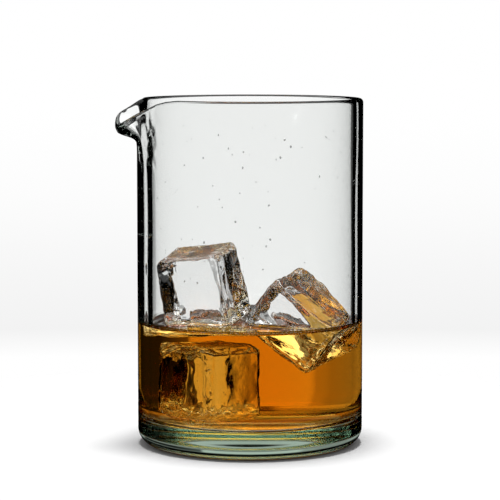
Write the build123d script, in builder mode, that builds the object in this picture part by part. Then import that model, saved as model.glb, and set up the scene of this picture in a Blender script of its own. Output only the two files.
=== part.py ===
"""Hand-blown bar mixing glass with a pulled pouring lip, holding a spirit and three ice cubes.

Millimetres.  The origin is the centre of the foot ring on the surface that the glass stands on,
+Z is up and the pouring lip points to -X, so the empty glass is symmetric about the XZ plane.
"""
from build123d import *
import os
from math import sqrt

# --- driving dimensions: the glass -------------------------------------------------------------
glass_diameter = 95.0
glass_height = 146.0
wall = 3.3
floor_thickness = 11.5
heel_radius = 7.0            # outside rounding between the wall and the foot
bowl_corner_radius = 6.0     # inside rounding between the wall and the floor
foot_ring_inner_radius = 30.0
punt_depth = 2.6             # hollow pushed up into the underside

# --- driving dimensions: the pulled lip --------------------------------------------------------
lip_reach = 57.5             # from the axis to the tip
lip_tip_drop = 10.5          # how far the tip hangs below the rim
lip_tip_thickness = 4.0
lip_tip_half_width = 6.0
lip_throat_half_width = 17.0
lip_throat_depth = 19.5      # from the rim down to where the lip leaves the wall
lip_wall = 3.0
lip_groove_depth = 1.6        # where the groove runs out over the tip
lip_groove_clear = 4.0        # the groove's cut stands this far above the lip
rim_rounding = 1.4
lip_rounding = 0.7

# --- driving dimensions: what the glass holds --------------------------------------------------
drink_level = 51.0           # height of the surface above the resting plane
ice_rounding = 3.0           # edges softened by melting
ice_clearance = 0.25         # film between the ice and the drink's solid

# Each cube's width, depth and height, then its centre and its turns about X, Y and Z.  One stands
# on the floor, one lies across it, and one leans on a corner beside them, half out of the drink.
ice_cubes = {
    "ice_cube_lower": ((30.0, 30.0, 33.5), Location((-16.7, -8.7, 28.8), (0.0, 0.0, 30.0))),
    "ice_cube_upper": ((30.0, 30.0, 33.5), Location((-18.6, 10.1, 64.8), (4.7, -11.3, -31.9))),
    "ice_cube_side": ((26.5, 30.0, 32.5), Location((19.0, -8.1, 53.6), (-28.3, -40.5, -53.6))),
}

# --- derived dimensions ------------------------------------------------------------------------
outer_radius = glass_diameter / 2
inner_radius = outer_radius - wall
foot_ring_outer_radius = outer_radius - heel_radius
rim_middle_radius = inner_radius + wall / 2
lip_root = sqrt(rim_middle_radius**2 - lip_throat_half_width**2)   # the lip starts within the wall
lip_tip_top = glass_height - lip_tip_drop

os.makedirs("parts", exist_ok=True)


def half_ellipse(plane, half_width, top, bottom):
    """A flat-topped section, as wide as the lip and round below, drawn on a plane across the lip."""
    with BuildSketch(plane) as section:
        with BuildLine():
            round_side = EllipticalCenterArc((0, top), half_width, top - bottom,
                                                start_angle=180, arc_size=180)
            Line(round_side @ 1, round_side @ 0)
        make_face()
    return section.sketch


def bowl_profile(top):
    """Half of the inside of the glass, from its floor up to a given height."""
    with BuildSketch(Plane.XZ) as profile:
        with BuildLine():
            bottom = Line((0, floor_thickness), (inner_radius - bowl_corner_radius, floor_thickness))
            corner = TangentArc(bottom @ 1, (inner_radius, floor_thickness + bowl_corner_radius),
                                tangent=(1, 0))
            Polyline(corner @ 1, (inner_radius, top), (0, top), bottom @ 0)
        make_face()
    return profile.sketch


# --- glass_vessel: one piece of glass with its wall, heavy base, punt and pulled lip ------------
with BuildPart() as glass_vessel:
    # the outside: punt, foot ring, heel and wall
    with BuildSketch(Plane.XZ):
        with BuildLine():
            punt = TangentArc((0, punt_depth), (foot_ring_inner_radius, 0), tangent=(1, 0))
            foot = Line(punt @ 1, (foot_ring_outer_radius, 0))
            heel = TangentArc(foot @ 1, (outer_radius, heel_radius), tangent=(1, 0))
            Polyline(heel @ 1, (outer_radius, glass_height), (0, glass_height), punt @ 0)
        make_face()
    revolve(axis=Axis.Z)
    # the outside of the lip, from inside the wall out to its drooping tip
    add(half_ellipse(Plane.YZ.offset(-lip_root), lip_throat_half_width,
                     glass_height, glass_height - lip_throat_depth))
    add(half_ellipse(Plane.YZ.offset(-lip_reach), lip_tip_half_width,
                     lip_tip_top, lip_tip_top - lip_tip_thickness))
    loft()
    # the inside of the bowl
    add(bowl_profile(glass_height))
    revolve(axis=Axis.Z, mode=Mode.SUBTRACT)
    # the groove of the lip, open on top and running out over the tip
    add(half_ellipse(Plane.YZ.offset(-lip_root + lip_wall), lip_throat_half_width - lip_wall,
                     glass_height + lip_groove_clear, glass_height - lip_throat_depth + lip_wall))
    add(half_ellipse(Plane.YZ.offset(-lip_reach - lip_wall), lip_tip_half_width - lip_wall / 2,
                     lip_tip_top + lip_groove_clear, lip_tip_top - lip_groove_depth))
    loft(mode=Mode.SUBTRACT)
    # the fire-polished rim
    rim_edges = glass_vessel.edges().filter_by_position(Axis.Z, glass_height - 0.01, glass_height + 0.01)
    fillet(rim_edges, rim_rounding)
    # the softened edges of the lip: the two sides of its groove and the outline of its tip
    lip_edges = glass_vessel.edges().filter_by(
        lambda edge: edge.bounding_box().min.X < -lip_reach + 0.1 and edge.bounding_box().max.X < -49)
    fillet(lip_edges, lip_rounding)

glass_vessel.part.label = "glass_vessel"
export_step(glass_vessel.part, "parts/glass_vessel.step")

# --- ice cubes: rounded blocks -----------------------------------------------------------------
for name, ((width, depth, height), location) in ice_cubes.items():
    with BuildPart(Plane(location)) as ice_cube:
        Box(width, depth, height)
        fillet(ice_cube.edges(), ice_rounding)
    ice_cube.part.label = name
    export_step(ice_cube.part, f"parts/{name}.step")

# --- drink: the spirit fills the bowl up to its level, around the ice ---------------------------
ice_rooms = []
for (width, depth, height), location in ice_cubes.values():
    with BuildPart(Plane(location)) as ice_room:
        Box(width + 2 * ice_clearance, depth + 2 * ice_clearance, height + 2 * ice_clearance)
        fillet(ice_room.edges(), ice_rounding + ice_clearance)
    ice_rooms.append(ice_room.part)

with BuildPart() as drink:
    add(bowl_profile(drink_level))
    revolve(axis=Axis.Z)
    add(ice_rooms, mode=Mode.SUBTRACT)
drink.part.label = "drink"
export_step(drink.part, "parts/drink.step")
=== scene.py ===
"""The looks of the mixing glass: hand-blown glass, amber spirit and three ice cubes, in metres.

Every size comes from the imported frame.  Clear things meet in a set way, because each surface bends
light as if it stood in air: the drink's mesh runs a little into the glass and into the ice, so a
ray crosses both surfaces one after the other, and the two bends add up to the true one.
"""
from math import atan2, cos, degrees, exp, hypot, pi, radians, sin

import bpy
import bmesh
import numpy as np
from mathutils import Matrix, Vector, noise
from mathutils.bvhtree import BVHTree


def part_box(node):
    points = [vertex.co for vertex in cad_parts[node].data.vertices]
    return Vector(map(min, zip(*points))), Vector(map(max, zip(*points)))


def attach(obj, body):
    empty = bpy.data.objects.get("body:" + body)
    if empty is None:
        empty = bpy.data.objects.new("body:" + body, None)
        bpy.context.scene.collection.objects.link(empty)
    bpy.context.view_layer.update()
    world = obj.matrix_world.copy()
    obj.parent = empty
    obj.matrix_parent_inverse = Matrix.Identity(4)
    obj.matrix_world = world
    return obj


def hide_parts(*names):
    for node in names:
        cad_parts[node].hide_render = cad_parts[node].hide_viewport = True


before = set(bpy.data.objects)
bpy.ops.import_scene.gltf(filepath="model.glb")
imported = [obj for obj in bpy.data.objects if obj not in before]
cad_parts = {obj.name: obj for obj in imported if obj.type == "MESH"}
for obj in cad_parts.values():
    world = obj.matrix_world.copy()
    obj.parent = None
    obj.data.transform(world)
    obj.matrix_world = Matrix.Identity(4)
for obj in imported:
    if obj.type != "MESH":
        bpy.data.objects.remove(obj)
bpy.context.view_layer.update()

MM = 0.001

# --- sizes from the frame ------------------------------------------------------------------------
vessel_low, vessel_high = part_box("glass_vessel")
drink_low, drink_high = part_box("drink")
outer_radius = vessel_high.x
inner_radius = drink_high.x
wall = outer_radius - inner_radius
glass_height = vessel_high.z
floor_height = drink_low.z
drink_level = drink_high.z
lip_reach = -vessel_low.x

# --- the glass's section, as the CAD part has it ---------------------------------------------------
HEEL = 7.0 * MM
BOWL_CORNER = 6.0 * MM
PUNT_RADIUS = 30.0 * MM
PUNT_DEPTH = 2.6 * MM
LIP_DROP = 10.4 * MM
LIP_START = 123.0 * MM        # height where the wall begins to follow the lip
LIP_BEAD = 2.2 * MM           # half the thickness of the rim at the lip's tip
OVERLAP = 0.25 * MM           # how far the drink runs into the glass
HOLLOW_GAP = 0.9 * MM         # how far the drink runs into the ice
CRINKLE = 0.8 * MM            # depth of the creases along the ice's edges
CLIMB = 2.2 * MM              # how far the drink's surface climbs at the glass
CLIMB_WIDTH = 1.3 * MM        # how fast that climb dies away from the glass
ICE_CLIMB = 1.1 * MM          # the same at the ice
ICE_CLIMB_WIDTH = 1.0 * MM

# --- unevenness of the blown glass -------------------------------------------------------------------
INSIDE_WAVE = 0.14 * MM
OUTSIDE_WAVE = 0.08 * MM
SWAY = 2.2                    # degrees by which the streaks wander on their way up
# Upright streaks on the inside: direction and breadth in degrees, depth, share of the sway.
STREAKS = ((168, 17, 0.9 * MM, 0), (191.5, 3.2, 0.6 * MM, -1), (328, 1.6, 0.25 * MM, 1))
FOLD_START = 108 * MM         # height above which the lip's folds are looked for
FOLD_DEPTH = 0.8 * MM

# --- melted ice ----------------------------------------------------------------------------------------
FACE_HOLLOW = 1.1 * MM
ICE_LUMP = 0.35 * MM
ICE_SHRINK = 0.2 * MM         # keeps the lumps near the block's own size
EDGE_SPREAD = 0.72            # below 1, the grid is finer towards the edges
ICE_STEPS = 52
CUTTER_STEPS = 26             # the hollows are cut with a coarser, smooth block

# --- how the clear things bend and colour light ------------------------------------------------------
GLASS_IOR = 1.5
DRINK_IOR = 1.36
ICE_IOR = 1.58
GLASS_TINT = (0.47, 0.61, 0.50)
GLASS_DENSITY = 20.0
DRINK_TINT = (0.968, 0.80, 0.30)
DRINK_DENSITY = 100.0
ICE_TINT = (0.92, 0.97, 1.0)
ICE_DENSITY = 1.0


def smooth(x, low, high):
    """0 below low, 1 above high, and a smooth step between."""
    t = np.clip((x - low) / (high - low), 0, 1)
    return t * t * (3 - 2 * t)


def arc(centre_r, centre_z, radius, start, end, count):
    """Points (r, z) on an arc, angles in degrees from +r towards +z, both ends included."""
    angles = np.radians(np.linspace(start, end, count))
    return np.stack([centre_r + radius * np.cos(angles), centre_z + radius * np.sin(angles)], 1)


def straight(start, end, count):
    """Points (r, z) between two points, without the first."""
    steps = np.linspace(0, 1, count + 1)[1:, None]
    return np.array(start) * (1 - steps) + np.array(end) * steps


def new_object(name, vertices, faces, body):
    """A smooth-shaded mesh object that rides on a body."""
    mesh = bpy.data.meshes.new(name)
    mesh.from_pydata([tuple(v) for v in vertices], [], [tuple(f) for f in faces])
    mesh.polygons.foreach_set("use_smooth", [True] * len(mesh.polygons))
    mesh.update()
    obj = bpy.data.objects.new(name, mesh)
    bpy.context.scene.collection.objects.link(obj)
    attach(obj, body)
    return obj


def ring_faces(rings, count):
    """Faces of a stack of rings of count vertices, with a pole vertex at each end."""
    faces = []
    for row in range(rings - 1):
        a, b = row * count, (row + 1) * count
        for i in range(count):
            j = (i + 1) % count
            faces.append((a + i, a + j, b + j, b + i))
    first_pole = rings * count
    last = (rings - 1) * count
    faces += [(first_pole, (i + 1) % count, i) for i in range(count)]
    faces += [(first_pole + 1, last + i, last + (i + 1) % count) for i in range(count)]
    return faces


def wobble(x, y, z, scale, seed):
    """Smooth noise from -1 to 1 at a point, for a feature size given by scale."""
    return noise.noise(Vector((x / scale + seed, y / scale - seed, z / scale + 2 * seed)))


def lip_angle(x, y):
    """Degrees from the lip's direction, -X, positive towards -Y."""
    return (degrees(atan2(y, x)) + 360) % 360 - 180


def blown(x, y, z, inside):
    """A point of the wall moved by the unevenness of hand-blown glass, and inside by the lip's folds."""
    r = hypot(x, y)
    if r < 1 * MM:
        return x, y, z
    ux, uy = x / r, y / r
    amount, seed = (INSIDE_WAVE, 3.7) if inside else (OUTSIDE_WAVE, 11.2)
    push = amount * wobble(ux * 45 * MM, uy * 45 * MM, z * 0.5, 34 * MM, seed)
    if inside:
        turn = degrees(atan2(y, x)) % 360
        sway = SWAY * wobble(0, 0, z, 26 * MM, 5.5)
        for direction, breadth, depth, share in STREAKS:
            push -= depth * exp(-((turn - direction + share * sway) / breadth) ** 2)
    push *= min(1.0, max(0.0, (z - 9 * MM) / (12 * MM)))
    if inside and z > FOLD_START:
        phi = lip_angle(x, y)
        near = exp(-(abs(phi - 3) / 13) ** 2.5) * smooth(z, 112 * MM, 126 * MM)
        near *= 1 - smooth(z, 138 * MM, 143 * MM)
        near *= 1 - 0.6 * smooth(r, inner_radius + 1 * MM, inner_radius + 4 * MM)
        along = radians(phi) * 46 * MM
        crease = wobble(along * 1.5 + 0.5 * z, 0, 0.6 * z, 5 * MM, 21.4)
        crease += 0.5 * wobble(along, 0, z, 2.6 * MM, 4.4)
        push += FOLD_DEPTH * near * crease
    return x + ux * push, y + uy * push, z


# --- camera ------------------------------------------------------------------------------------------
def add_camera():
    """A long lens, 12 degrees round to the left and a little above the glass."""
    azimuth = radians(-12)
    distance, height, aim = 0.948, 0.1776, 0.0819
    data = bpy.data.cameras.new("camera")
    data.sensor_width = 36.0
    data.lens = 162.5
    data.clip_start = 0.01
    camera = bpy.data.objects.new("camera", data)
    camera.location = (distance * sin(azimuth), -distance * cos(azimuth), height)
    direction = Vector((0, 0, aim)) - camera.location
    camera.rotation_euler = direction.to_track_quat("-Z", "Y").to_euler()
    bpy.context.scene.collection.objects.link(camera)
    bpy.context.scene.camera = camera


# --- the glass -------------------------------------------------------------------------------------
def lip_angles():
    """Angles round the glass, closer together at the lip, which points to -X."""
    lip_half, lip_steps, far_steps = 42, 104, 168
    near = np.linspace(180 - lip_half, 180 + lip_half, lip_steps + 1)
    far = np.linspace(180 + lip_half, 540 - lip_half, far_steps + 1)
    return np.radians(np.concatenate([near[:-1], far[:-1]]))


def eased(x, knots, values, blur):
    """A smooth curve near the given points: linear pieces averaged over a bell of the given width."""
    offsets = np.linspace(-2, 2, 17)
    weights = np.exp(-offsets ** 2)
    return sum(w * np.interp(x + o * blur, knots, values) for w, o in zip(weights, offsets)) / weights.sum()


def lip_pull(phi):
    """How much of the lip's reach and of its drop a direction gets; the near side hangs lower."""
    outward = eased(phi, (-20, -15, -10, -6, -3, 3, 6, 10, 15, 20),
                    (0, 0.11, 0.47, 0.90, 1.0, 1.0, 0.88, 0.45, 0.10, 0), 1.2)
    drop = eased(phi, (-24, -15, -10, -6, -3, 0, 3, 6, 10, 15, 22, 30, 38),
                 (0, 0.08, 0.33, 0.56, 0.78, 0.96, 1.03, 0.90, 0.57, 0.36, 0.17, 0.06, 0), 1.2)
    return outward, drop


def sheet_rows(theta, count):
    """The middle of the wall from the lip's start up to the rim, bent out into the lip, and half its
    thickness."""
    phi = (np.degrees(theta) + 360) % 360 - 180
    outward, drop = lip_pull(phi)
    middle = outer_radius - wall / 2
    bead = wall / 2 + (LIP_BEAD - wall / 2) * np.clip(outward, 0, 1)
    rim_r = middle + (lip_reach - LIP_BEAD - middle) * outward
    rim_z = glass_height - wall / 2 - LIP_DROP * drop
    slope = np.radians(90 - 60 * np.clip(outward, 0, 1) ** 0.7)
    reach = (7 - 2 * np.clip(outward, 0, 1)) * MM
    rise = (rim_z - LIP_START) * (0.33 + 0.47 * np.clip(outward, 0, 1))
    corners = [(middle + 0 * phi, LIP_START + 0 * phi), (middle + 0 * phi, LIP_START + rise),
               (rim_r - reach * np.cos(slope), rim_z - reach * np.sin(slope)), (rim_r, rim_z)]
    rows, half = [], []
    for t in np.linspace(0, 1, count):
        shares = ((1 - t) ** 3, 3 * t * (1 - t) ** 2, 3 * t * t * (1 - t), t ** 3)
        radius = sum(share * corner[0] for share, corner in zip(shares, corners))
        height = sum(share * corner[1] for share, corner in zip(shares, corners))
        rows.append(np.stack([radius * np.cos(theta), radius * np.sin(theta), height], 1))
        half.append(wall / 2 + (bead - wall / 2) * smooth(t, 0.4, 1.0))
    return np.array(rows), np.array(half)[:, :, None]


def glass_mesh():
    """The whole skin of the glass in one stack of rings: under the base, up the outside, over the rim
    and lip, down the inside and across the bowl's floor."""
    theta = lip_angles()
    count = len(theta)
    cos_t, sin_t = np.cos(theta), np.sin(theta)

    def revolve(points):
        return [np.stack([r * cos_t, r * sin_t, np.full(count, z)], 1) for r, z in points]

    foot_radius = outer_radius - HEEL
    cap = (PUNT_RADIUS ** 2 + PUNT_DEPTH ** 2) / (2 * PUNT_DEPTH)
    punt_r = np.linspace(0.6 * MM, PUNT_RADIUS - 1.5 * MM, 26)
    punt = np.stack([punt_r, PUNT_DEPTH - cap + np.sqrt(cap ** 2 - punt_r ** 2)], 1)
    foot = np.array([(PUNT_RADIUS - 0.5 * MM, 0.03 * MM), (PUNT_RADIUS + 1 * MM, 0),
                     (foot_radius - 4 * MM, 0), (foot_radius - 1.5 * MM, 0)])
    heel = arc(foot_radius, HEEL, HEEL, -90, 0, 22)
    below = revolve(np.concatenate([punt, foot, heel]))
    below += revolve(straight((outer_radius, HEEL), (outer_radius, LIP_START), 96)[:-1])

    sheet, half = sheet_rows(theta, 44)
    along = np.gradient(sheet, axis=0)
    around = np.roll(sheet, -1, axis=1) - np.roll(sheet, 1, axis=1)
    normal = np.cross(around, along)
    normal /= np.linalg.norm(normal, axis=2, keepdims=True)
    along /= np.linalg.norm(along, axis=2, keepdims=True)
    outside = sheet + normal * half
    inside = sheet - normal * half
    rim = [sheet[-1] + half[-1] * (cos(a) * normal[-1] + sin(a) * along[-1])
           for a in np.linspace(0, pi, 14)[1:-1]]
    upper = list(outside) + rim + list(inside[::-1])

    corner_top = floor_height + BOWL_CORNER
    bowl = [*straight((inner_radius, LIP_START), (inner_radius, corner_top), 90),
            *arc(inner_radius - BOWL_CORNER, corner_top, BOWL_CORNER, 0, -90, 20)[1:],
            *straight((inner_radius - BOWL_CORNER, floor_height), (0.6 * MM, floor_height), 26)]
    rings = below + upper + revolve(bowl)
    result = []
    for row, ring in enumerate(rings):
        inside = row >= len(below) + len(outside)
        result += [blown(x, y, z, inside) for x, y, z in ring]
    first = np.mean(rings[0], 0)
    last = np.mean(rings[-1], 0)
    result += [tuple(first), tuple(last)]
    faces = ring_faces(len(rings), count)
    return result, faces


def add_seeds(vertices, faces):
    """Small round bubbles caught in the wall, as hollows in the glass."""
    rng = np.random.default_rng(7)
    bm = bmesh.new()
    for _ in range(130):
        angle = rng.uniform(0, 2 * pi)
        z = rng.uniform(58, 138) * MM
        radius = (outer_radius + inner_radius) / 2 + rng.uniform(-0.7, 0.7) * MM
        size = rng.choice([0.16, 0.22, 0.3, 0.42], p=[0.4, 0.3, 0.2, 0.1]) * MM
        place = Matrix.Translation((radius * cos(angle), radius * sin(angle), z))
        stretch = Matrix.Diagonal((1, 1, rng.uniform(1.0, 1.9), 1))
        bmesh.ops.create_icosphere(bm, subdivisions=2, radius=size, matrix=place @ stretch)
    bmesh.ops.reverse_faces(bm, faces=bm.faces)
    start = len(vertices)
    bm.verts.index_update()
    vertices = vertices + [tuple(v.co) for v in bm.verts]
    faces = faces + [tuple(start + v.index for v in f.verts) for f in bm.faces]
    bm.free()
    return vertices, faces


# --- ice -------------------------------------------------------------------------------------------
def block_frame(node):
    """Centre, three unit axes and half sizes of a block, read from its flat faces."""
    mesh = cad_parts[node].data
    mesh.calc_loop_triangles()
    sums = {}
    for triangle in mesh.loop_triangles:
        n = triangle.normal
        key = next((k for k in sums if Vector(k).dot(n) > 0.9999), None)
        key = key or tuple(n)
        sums[key] = sums.get(key, 0) + triangle.area
    ranked = sorted(sums, key=lambda k: -sums[k])
    axes = []
    for key in ranked:
        candidate = Vector(key).normalized()
        if all(abs(candidate.dot(a)) < 0.01 for a in axes):
            axes.append(candidate)
        if len(axes) == 3:
            break
    axes.sort(key=lambda a: -abs(a.z))
    up = axes[0] if axes[0].z > 0 else -axes[0]
    side = axes[1] if axes[1].x > 0 else -axes[1]
    axes = [side, up.cross(side), up]
    points = np.array([v.co for v in mesh.vertices])
    matrix = np.array(axes)
    local = points @ matrix.T
    low, high = local.min(0), local.max(0)
    centre = ((low + high) / 2) @ matrix
    return centre, matrix, (high - low) / 2


def chipped(p, cuts):
    """A point of a block moved onto the flats that break its edges."""
    for normal, depth in cuts:
        over = float(p @ normal) - depth
        if over > 0:
            p = p - normal * over
    return p


def edge_cuts(half, rng, breadth):
    """Flats of uneven width and tilt along the twelve edges of a block, and across its corners."""
    cuts = []
    for a, b in ((0, 1), (0, 2), (1, 2)):
        third = 3 - a - b
        for sa in (-1, 1):
            for sb in (-1, 1):
                for _ in range(2):
                    normal = np.zeros(3)
                    turn = radians(rng.uniform(28, 62))
                    normal[a], normal[b] = sa * cos(turn), sb * sin(turn)
                    normal[third] = rng.uniform(-0.13, 0.13)
                    normal /= np.linalg.norm(normal)
                    corner = np.zeros(3)
                    corner[a], corner[b] = sa * half[a], sb * half[b]
                    cuts.append((normal, float(corner @ normal) - rng.uniform(0.7, 1.9) * breadth * MM))
    for signs in np.ndindex(2, 2, 2):
        normal = (np.array(signs) * 2 - 1) * rng.uniform(0.7, 1.3, 3)
        normal /= np.linalg.norm(normal)
        corner = (np.array(signs) * 2 - 1) * half
        cuts.append((normal, float(corner @ normal) - rng.uniform(1.4, 3.0) * breadth * MM))
    return cuts


def ice_mesh(node, seed, breadth, steps, crinkle):
    """A melted block: hollowed faces, uneven broken edges and lumps, in the CAD block's place, with
    creases of the given depth towards its edges."""
    centre, axes, half = block_frame(node)
    rng = np.random.default_rng(int(seed * 10))
    cuts = edge_cuts(half, rng, breadth)
    bm = bmesh.new()
    bmesh.ops.create_cube(bm, size=2)
    bmesh.ops.subdivide_edges(bm, edges=bm.edges, cuts=steps - 1, use_grid_fill=True)
    for v in bm.verts:
        # spread the grid so that it is finer at the edges
        u = np.array(v.co)
        u = np.sign(u) * np.abs(u) ** EDGE_SPREAD
        p = u * half
        w = np.abs(u)
        for axis in range(3):
            if w[axis] > 0.98:
                a, b = [k for k in range(3) if k != axis]
                hollow = (1 - w[a] ** 3) * (1 - w[b] ** 3)
                p[axis] -= np.sign(u[axis]) * FACE_HOLLOW * hollow
        p = chipped(p, cuts)
        near_edge = float(np.sort(w)[1] ** 3.2)
        ridge = 0.5 - 2 * abs(wobble(*p, 4.6 * MM, seed + 2))
        ridge -= 0.8 * abs(wobble(*p, 1.9 * MM, seed + 7))
        lump = ICE_LUMP * wobble(*p, 9 * MM, seed) + crinkle * ridge * near_edge
        direction = p / max(np.linalg.norm(p), 1e-9)
        p = p + direction * (lump - ICE_SHRINK)
        v.co = Vector(centre + p @ axes)
    for _ in range(2):
        bmesh.ops.smooth_vert(bm, verts=bm.verts, factor=0.5,
                              use_axis_x=True, use_axis_y=True, use_axis_z=True)
    bm.normal_update()
    vertices = [tuple(v.co) for v in bm.verts]
    bm.verts.index_update()
    faces = [tuple(v.index for v in f.verts) for f in bm.faces]
    bm.free()
    return vertices, faces


# --- the drink -------------------------------------------------------------------------------------
def drink_mesh(ice_objects):
    """The spirit: it runs a little into the glass, and its surface climbs at the glass and the ice."""
    count = 300
    theta = np.linspace(0, 2 * pi, count, endpoint=False)
    radius = inner_radius + OVERLAP
    floor = floor_height - OVERLAP
    corner = BOWL_CORNER
    profile = [*straight((0, floor), (radius - corner, floor), 14),
               *arc(radius - corner, floor + corner, corner, -90, 0, 16)[1:],
               *straight((radius, floor + corner), (radius, drink_level + CLIMB), 30)]
    surface_r = np.concatenate([radius - np.linspace(0.12, 4, 28) * MM,
                                np.linspace(radius - 4.5 * MM, 0.8 * MM, 78)])
    wall_rings = len(profile)
    rings = [np.stack([r * np.cos(theta), r * np.sin(theta), np.full(count, z)], 1) for r, z in profile]
    trees = []
    for obj in ice_objects:
        vertices = [v.co for v in obj.data.vertices]
        trees.append(BVHTree.FromPolygons(vertices, [p.vertices for p in obj.data.polygons]))
    for r in surface_r:
        at_wall = CLIMB * np.exp(-(inner_radius - min(r, inner_radius)) / CLIMB_WIDTH)
        ring = np.stack([r * np.cos(theta), r * np.sin(theta), np.full(count, drink_level + at_wall)], 1)
        for point in ring:
            here = Vector((point[0], point[1], drink_level))
            gap = min(tree.find_nearest(here)[3] for tree in trees)
            point[2] += ICE_CLIMB * np.exp(-gap / ICE_CLIMB_WIDTH)
        rings.append(ring)
    vertices = [blown(x, y, z, True) for ring in rings[:wall_rings] for x, y, z in ring]
    vertices += [tuple(p) for ring in rings[wall_rings:] for p in ring]
    vertices += [(0, 0, floor), (0, 0, drink_level)]
    return vertices, ring_faces(len(rings), count)


def cut_ice_from_drink(drink, cutters):
    """Hollows for the ice, a little smaller than the ice, cut with an exact boolean."""
    for vertices, faces in cutters:
        cutter_mesh = bpy.data.meshes.new("cutter")
        cutter_mesh.from_pydata(vertices, [], faces)
        normals = [v.normal.copy() for v in cutter_mesh.vertices]
        for v, n in zip(cutter_mesh.vertices, normals):
            v.co = v.co - n * HOLLOW_GAP
        cutter = bpy.data.objects.new("cutter", cutter_mesh)
        bpy.context.scene.collection.objects.link(cutter)
        modifier = drink.modifiers.new("cut", "BOOLEAN")
        modifier.operation = "DIFFERENCE"
        modifier.solver = "EXACT"
        modifier.object = cutter
        bpy.context.view_layer.update()
        evaluated = drink.evaluated_get(bpy.context.evaluated_depsgraph_get())
        mesh = bpy.data.meshes.new_from_object(evaluated)
        drink.modifiers.clear()
        old = drink.data
        drink.data = mesh
        bpy.data.meshes.remove(old)
        bpy.data.objects.remove(cutter)
        bpy.data.meshes.remove(cutter_mesh)
    mesh = drink.data
    mesh.name = "drink_body"
    mesh.polygons.foreach_set("use_smooth", [True] * len(mesh.polygons))


# --- materials -------------------------------------------------------------------------------------
def clear_material(name, ior, absorb, density):
    """A clear body: a smooth surface that bends light, and a volume that colours it."""
    material = bpy.data.materials.new(name)
    material.use_nodes = True
    nodes, links = material.node_tree.nodes, material.node_tree.links
    shader = nodes["Principled BSDF"]
    shader.inputs["Base Color"].default_value = (1, 1, 1, 1)
    shader.inputs["Roughness"].default_value = 0.0
    shader.inputs["IOR"].default_value = ior
    shader.inputs["Transmission Weight"].default_value = 1.0
    volume = nodes.new("ShaderNodeVolumeAbsorption")
    volume.inputs["Color"].default_value = (*absorb, 1)
    volume.inputs["Density"].default_value = density
    links.new(volume.outputs["Volume"], nodes["Material Output"].inputs["Volume"])
    return material


def add_bump(material, size, strength, distance):
    """A fine unevenness of the surface, of a given feature size in metres."""
    nodes, links = material.node_tree.nodes, material.node_tree.links
    coordinates = nodes.new("ShaderNodeTexCoord")
    texture = nodes.new("ShaderNodeTexNoise")
    texture.inputs["Scale"].default_value = 1 / size
    texture.inputs["Detail"].default_value = 2.0
    bump = nodes.new("ShaderNodeBump")
    bump.inputs["Strength"].default_value = strength
    bump.inputs["Distance"].default_value = distance
    links.new(coordinates.outputs["Object"], texture.inputs["Vector"])
    links.new(texture.outputs["Fac"], bump.inputs["Height"])
    links.new(bump.outputs["Normal"], nodes["Principled BSDF"].inputs["Normal"])


# --- studio ----------------------------------------------------------------------------------------
def math_node(tree, operation, a, b=None, c=None):
    """One step of arithmetic; each operand is a number or another node's output."""
    node = tree.nodes.new("ShaderNodeMath")
    node.operation = operation
    for socket, value in zip(node.inputs, (a, b, c)):
        if value is None:
            continue
        if isinstance(value, (int, float)):
            socket.default_value = value
        else:
            tree.links.new(value, socket)
    return node.outputs[0]


def ramp_node(tree, factor, stops):
    """A colour ramp of grey levels; stops are (place from 0 to 1, level)."""
    node = tree.nodes.new("ShaderNodeValToRGB")
    elements = node.color_ramp.elements
    elements[0].position, elements[1].position = stops[0][0], stops[-1][0]
    elements[0].color = (*[stops[0][1]] * 3, 1)
    elements[1].color = (*[stops[-1][1]] * 3, 1)
    for place, level in stops[1:-1]:
        elements.new(place).color = (level, level, level, 1)
    tree.links.new(factor, node.inputs["Fac"])
    return node.outputs["Color"]


def mix_colours(tree, factor, a, b):
    """a where the factor is 0 and b where it is 1; each is a grey level or another node's output."""
    node = tree.nodes.new("ShaderNodeMix")
    node.data_type = "RGBA"
    for socket, value in ((node.inputs["Factor"], factor), (node.inputs[6], a), (node.inputs[7], b)):
        if isinstance(value, (int, float)):
            socket.default_value = value if socket.type == "VALUE" else (value, value, value, 1)
        else:
            tree.links.new(value, socket)
    return node.outputs[2]


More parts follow.
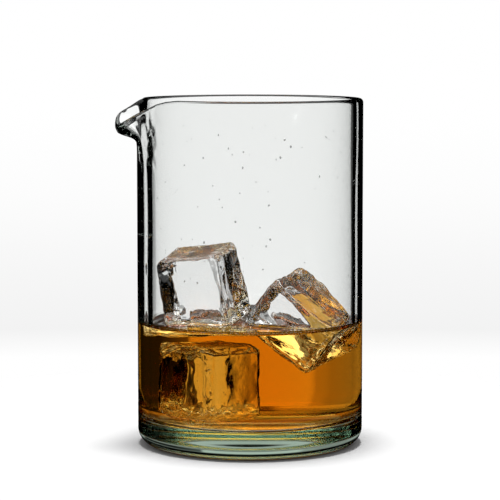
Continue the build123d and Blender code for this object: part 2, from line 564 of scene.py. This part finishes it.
def add_studio():
    """A bright-field studio: a lit panel behind the glass for each side that it is seen from, dark
    flags between the panels, a large soft light above, and a pale backdrop seen directly."""
    world = bpy.data.worlds.new("studio")
    bpy.context.scene.world = world
    world.use_nodes = True
    tree = world.node_tree
    tree.nodes.clear()
    coordinates = tree.nodes.new("ShaderNodeTexCoord")
    split = tree.nodes.new("ShaderNodeSeparateXYZ")
    tree.links.new(coordinates.outputs["Generated"], split.inputs[0])
    x, y, z = split.outputs
    turn = math_node(tree, "ARCTAN2", math_node(tree, "MULTIPLY", x, -1.0), y)
    turn = math_node(tree, "MULTIPLY_ADD", turn, 1 / (2 * pi), 0.5)
    elevation = math_node(tree, "DIVIDE", math_node(tree, "ARCSINE", z), pi)
    elevation = math_node(tree, "ADD", elevation, 0.5)

    def place(angle):
        return angle / 360 + 0.5

    def height(angle):
        return angle / 180 + 0.5

    def around(stops):
        return ramp_node(tree, turn, [(place(a), level) for a, level in stops])

    def upward(stops):
        return ramp_node(tree, elevation, [(height(a), level) for a, level in stops])

    # Stops are (degrees, brightness): degrees round the glass, or above and below the horizon.
    level_views = around([(-180, 0.05), (-166, 0.05), (-164, 0.95), (-106, 0.95), (-103, 0), (-97, 0),
                          (-94, 0.8), (-74, 0.8), (-71, 0.03), (-43, 0.03), (-36, 0.08), (-29.5, 0.18),
                          (-28, 1.05), (5, 1.05), (7, 0.65), (11, 0.6), (14, 0.5), (34, 0.5), (44, 0.8),
                          (56, 0.95), (118, 0.95), (121, 0.05), (180, 0.05)])
    low_views = around([(-180, 0.05), (-6, 0.05), (-2, 0.95), (98, 0.95), (102, 0.05), (180, 0.05)])
    above = upward([(-90, 0.1), (-36, 0.1), (6, 0.1), (8, 0.45), (36, 0.45), (46, 2.8), (90, 2.8)])
    is_level = upward([(-90, 0), (-24, 0), (-22, 1), (6, 1), (8, 0), (90, 0)])
    is_low = upward([(-90, 0), (-40, 0), (-36, 1), (0, 1), (1, 0), (90, 0)])
    through = mix_colours(tree, is_level, mix_colours(tree, is_low, above, low_views), level_views)
    inner = upward([(-90, 0.15), (-42, 0.15), (-33, 0.0), (3, 0.0), (5, 0.06), (9, 0.08), (9.6, 0.9),
                    (14, 0.9), (16, 0.3), (36, 0.3), (46, 3.0), (90, 3.0)])
    backdrop = upward([(-90, 1.0), (-7.95, 1.0), (-7.85, 0.89), (-6, 0.93), (-4.5, 0.975), (-2.5, 1.0),
                       (90, 1.0)])
    mirrored = upward([(-90, 0), (30, 0), (50, 0.5), (90, 0.5)])
    soft = upward([(-90, 0.32), (82, 0.32), (84, 60), (90, 60)])
    path = tree.nodes.new("ShaderNodeLightPath").outputs

    def is_past(depth):
        return math_node(tree, "GREATER_THAN", path[depth], 0.5)

    through = mix_colours(tree, is_past("Glossy Depth"), through, inner)
    colour = mix_colours(tree, path["Is Glossy Ray"], soft, mirrored)
    colour = mix_colours(tree, is_past("Transmission Depth"), colour, through)
    bent = math_node(tree, "MAXIMUM", is_past("Transmission Depth"), is_past("Glossy Depth"))
    shaded = mix_colours(tree, bent, soft, 0.05)
    colour = mix_colours(tree, is_past("Diffuse Depth"), colour, shaded)
    colour = mix_colours(tree, path["Is Camera Ray"], colour, backdrop)
    background = tree.nodes.new("ShaderNodeBackground")
    tree.links.new(colour, background.inputs["Color"])
    output = tree.nodes.new("ShaderNodeOutputWorld")
    tree.links.new(background.outputs[0], output.inputs["Surface"])
    world.cycles.sampling_method = "MANUAL"
    world.cycles.sample_map_resolution = 1024


def add_floor():
    """A pale floor under the glass that fades into the white of the backdrop at its edge."""
    mesh = bpy.data.meshes.new("studio_floor")
    bm = bmesh.new()
    bmesh.ops.create_circle(bm, cap_ends=True, segments=96, radius=0.22)
    bm.to_mesh(mesh)
    bm.free()
    floor = bpy.data.objects.new("studio_floor", mesh)
    bpy.context.scene.collection.objects.link(floor)
    floor.visible_glossy = False
    floor.visible_transmission = False
    material = bpy.data.materials.new("pale_floor")
    material.use_nodes = True
    tree = material.node_tree
    shader = tree.nodes["Principled BSDF"]
    shader.inputs["Base Color"].default_value = (0.9, 0.9, 0.9, 1)
    shader.inputs["Roughness"].default_value = 0.9
    shader.inputs["Specular IOR Level"].default_value = 0.0
    coordinates = tree.nodes.new("ShaderNodeTexCoord")
    length = tree.nodes.new("ShaderNodeVectorMath")
    length.operation = "LENGTH"
    tree.links.new(coordinates.outputs["Object"], length.inputs[0])
    fade = tree.nodes.new("ShaderNodeMapRange")
    fade.inputs["From Min"].default_value = 0.13
    fade.inputs["From Max"].default_value = 0.215
    fade.interpolation_type = "SMOOTHSTEP"
    tree.links.new(length.outputs["Value"], fade.inputs["Value"])
    clear = tree.nodes.new("ShaderNodeBsdfTransparent")
    mix = tree.nodes.new("ShaderNodeMixShader")
    tree.links.new(fade.outputs[0], mix.inputs[0])
    tree.links.new(shader.outputs[0], mix.inputs[1])
    tree.links.new(clear.outputs[0], mix.inputs[2])
    tree.links.new(mix.outputs[0], tree.nodes["Material Output"].inputs["Surface"])
    floor.data.materials.append(material)


# --- build -----------------------------------------------------------------------------------------
add_camera()

glass_material = clear_material("recycled_glass", GLASS_IOR, GLASS_TINT, GLASS_DENSITY)
ice_material = clear_material("clear_ice", ICE_IOR, ICE_TINT, ICE_DENSITY)
add_bump(ice_material, 4 * MM, 0.25, 0.3 * MM)
drink_material = clear_material("amber_spirit", DRINK_IOR, DRINK_TINT, DRINK_DENSITY)

vertices, faces = glass_mesh()
vertices, faces = add_seeds(vertices, faces)
glass = new_object("glass_body", vertices, faces, "vessel")
glass.data.materials.append(glass_material)
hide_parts("glass_vessel")

ice, cutters = [], []
for name, seed, breadth in (("lower", 2.3, 1.9), ("upper", 5.3, 0.9), ("side", 8.3, 1.1)):
    node = f"ice_cube_{name}"
    vertices, faces = ice_mesh(node, seed, breadth, ICE_STEPS, CRINKLE)
    block = new_object(f"ice_block_{name}", vertices, faces, f"{name}_cube")
    block.data.materials.append(ice_material)
    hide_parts(node)
    ice.append(block)
    cutters.append(ice_mesh(node, seed, breadth, CUTTER_STEPS, 0))

vertices, faces = drink_mesh(ice)
drink = new_object("drink_body", vertices, faces, "vessel")
drink.data.materials.append(drink_material)
cut_ice_from_drink(drink, cutters)
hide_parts("drink")

add_studio()
add_floor()

scene = bpy.context.scene
scene.view_settings.view_transform = "Standard"
scene.cycles.max_bounces = 32
scene.cycles.transmission_bounces = 32
scene.cycles.glossy_bounces = 12
scene.cycles.transparent_max_bounces = 16
scene.cycles.sample_clamp_indirect = 4.0
